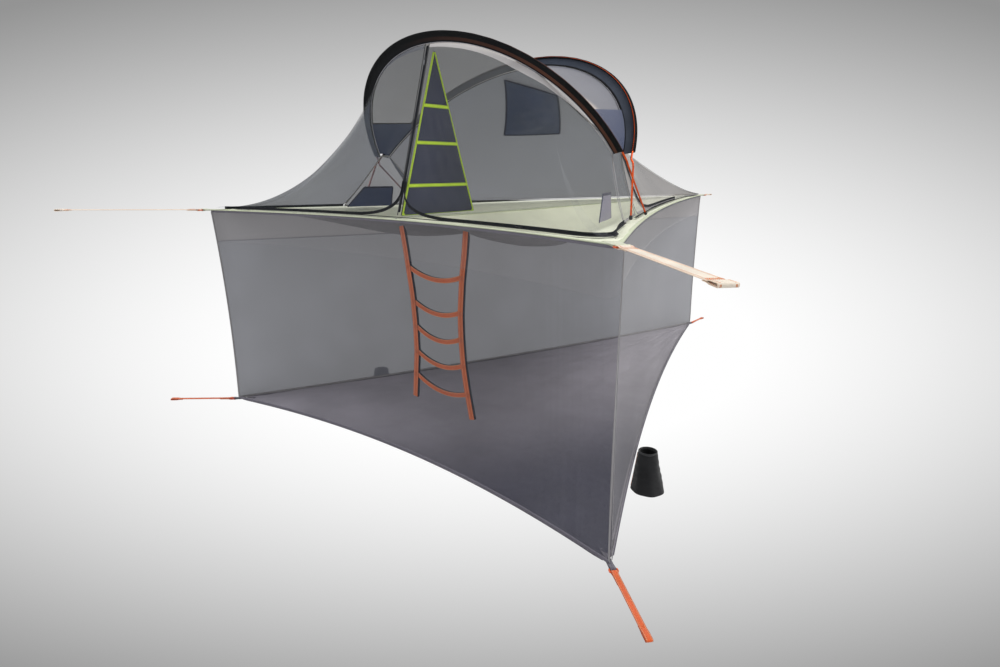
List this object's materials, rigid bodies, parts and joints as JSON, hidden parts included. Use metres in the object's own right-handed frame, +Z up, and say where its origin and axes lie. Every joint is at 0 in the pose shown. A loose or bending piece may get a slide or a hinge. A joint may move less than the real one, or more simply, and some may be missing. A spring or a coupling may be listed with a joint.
{
  "type": "tree tent",
  "caption": "Two-storey triangular tree tent: a suspended mesh-canopied floor on crossed arch poles, with a mesh-walled lower room, entry ladder and anchor straps.",
  "frame": {"origin": "the point at upper-floor height where the lines of the three upper anchor straps meet", "axes": "+X towards the front right corner, +Y from the entrance edge towards the rear corner, +Z up"},
  "size_m": [3.8678, 4.6426, 2.177],
  "materials": {
    "black_fabric": "matt woven",
    "canopy_fabric": "see-through mosquito mesh",
    "cup_rubber": "matt",
    "edge_webbing": "woven webbing",
    "floor_fabric": "coated woven",
    "ladder_webbing": "woven webbing",
    "lime_webbing": "woven tape",
    "lower_floor_fabric": "coated woven",
    "navy_fabric": "matt woven",
    "orange_webbing": "woven webbing",
    "pole_coating": "anodised",
    "ring_coating": "semi-gloss",
    "slider_metal": "satin",
    "strap_webbing": "woven webbing",
    "wall_fabric": "see-through mosquito mesh",
    "zip_coil": "moulded coil"
  },
  "bodies": {
    "tent": {"anchor_strap_front_left": "strap_webbing", "anchor_strap_front_right": "strap_webbing", "anchor_strap_rear": "strap_webbing", "bottom_zip": "zip_coil", "floor_centre_strap": "edge_webbing", "floor_left_berth": "floor_fabric", "floor_pocket_left": "navy_fabric", "floor_pocket_right": "navy_fabric", "floor_right_berth": "floor_fabric", "foot_cup_front_left": "cup_rubber", "foot_cup_front_right": "cup_rubber", "foot_cup_rear_left": "cup_rubber", "foot_cup_rear_right": "cup_rubber", "front_arch_sleeve": "black_fabric", "front_pole": "pole_coating", "lower_floor": "lower_floor_fabric", "lower_perimeter_webbing": "black_fabric", "lower_ring_front_left": "ring_coating", "lower_ring_front_right": "ring_coating", "lower_ring_rear": "ring_coating", "lower_strap_front_left": "orange_webbing", "lower_strap_front_right": "orange_webbing", "lower_strap_rear": "orange_webbing", "organiser_panel": "navy_fabric", "organiser_trim": "lime_webbing", "perimeter_webbing": "edge_webbing", "rear_arch_sleeve": "black_fabric", "rear_canopy_left": "canopy_fabric", "rear_canopy_right": "canopy_fabric", "rear_navy_panel": "navy_fabric", "rear_pole": "pole_coating", "rear_zip": "zip_coil", "ring_front_left": "ring_coating", "ring_front_right": "ring_coating", "ring_rear": "ring_coating", "roof_panel": "canopy_fabric", "side_gusset_left": "navy_fabric", "side_gusset_right": "navy_fabric", "wall_front": "wall_fabric", "wall_left": "wall_fabric", "wall_right": "wall_fabric"},
    "door_left": {"door_flap_left": "canopy_fabric"},
    "door_right": {"door_flap_right": "canopy_fabric", "centre_zip": "zip_coil"},
    "centre_slider": {"centre_zip_slider": "slider_metal"},
    "centre_pull": {"centre_zip_pull": "slider_metal"},
    "bottom_slider": {"bottom_zip_slider": "slider_metal"},
    "bottom_pull": {"bottom_zip_pull": "slider_metal"},
    "rear_slider": {"rear_zip_slider": "slider_metal"},
    "rear_pull": {"rear_zip_pull": "slider_metal"},
    "ladder": {"ladder_stringer_left": "ladder_webbing", "ladder_stringer_right": "ladder_webbing", "ladder_rung_1": "ladder_webbing", "ladder_rung_2": "ladder_webbing", "ladder_rung_3": "ladder_webbing", "ladder_rung_4": "ladder_webbing", "ladder_rung_5": "ladder_webbing"},
    "bag_left": {"side_bag_left": "black_fabric"},
    "bag_right": {"side_bag_right": "black_fabric"}
  },
  "joints": [
    {"name": "door_left_hinge", "type": "hinge", "parent": "tent", "child": "door_left", "pos_m": [-0.59045, -0.63181, 0.68295], "axis": [-0.7942, 0.3537, -0.4941], "range_deg": [0, 85]},
    {"name": "door_right_hinge", "type": "hinge", "parent": "tent", "child": "door_right", "pos_m": [0.59045, -0.63181, 0.68295], "axis": [-0.7942, -0.3537, 0.4941], "range_deg": [0, 85]},
    {"name": "centre_zip_travel", "type": "slide", "parent": "door_right", "child": "centre_slider", "axis": [0, 0.2749, 0.9615], "range_m": [-0.668, 0.03]},
    {"name": "centre_pull_hinge", "type": "hinge", "parent": "centre_slider", "child": "centre_pull", "pos_m": [0, -0.7337, 0.73024], "axis": [-1, 0, 0], "range_deg": [0, 150]},
    {"name": "bottom_zip_travel", "type": "slide", "parent": "tent", "child": "bottom_slider", "axis": [0.9814, -0.1919, 0], "range_m": [-0.15, 0.15]},
    {"name": "bottom_pull_hinge", "type": "hinge", "parent": "bottom_slider", "child": "bottom_pull", "pos_m": [0.80902, -1.02401, 0.0132], "axis": [0.1919, 0.9814, 0], "range_deg": [0, 150]},
    {"name": "rear_zip_travel", "type": "slide", "parent": "tent", "child": "rear_slider", "axis": [-0.3348, 0.9423, 0], "range_m": [-0.3, 0.3]},
    {"name": "rear_pull_hinge", "type": "hinge", "parent": "rear_slider", "child": "rear_pull", "pos_m": [0.5387, 0.64052, 0.0132], "axis": [-0.9423, -0.3348, 0], "range_deg": [0, 150]},
    {"name": "ladder_hinge", "type": "hinge", "parent": "tent", "child": "ladder", "pos_m": [0.25, -0.958, -0.02], "axis": [1, 0, 0], "range_deg": [-1, 60]},
    {"name": "bag_left_hinge", "type": "hinge", "parent": "tent", "child": "bag_left", "pos_m": [-0.978, -0.26, -1.128], "axis": [0.3348, 0.9423, 0], "range_deg": [0, 50]},
    {"name": "bag_right_hinge", "type": "hinge", "parent": "tent", "child": "bag_right", "pos_m": [0.978, -0.26, -1.128], "axis": [0.3348, -0.9423, 0], "range_deg": [0, 50]}
  ]
}
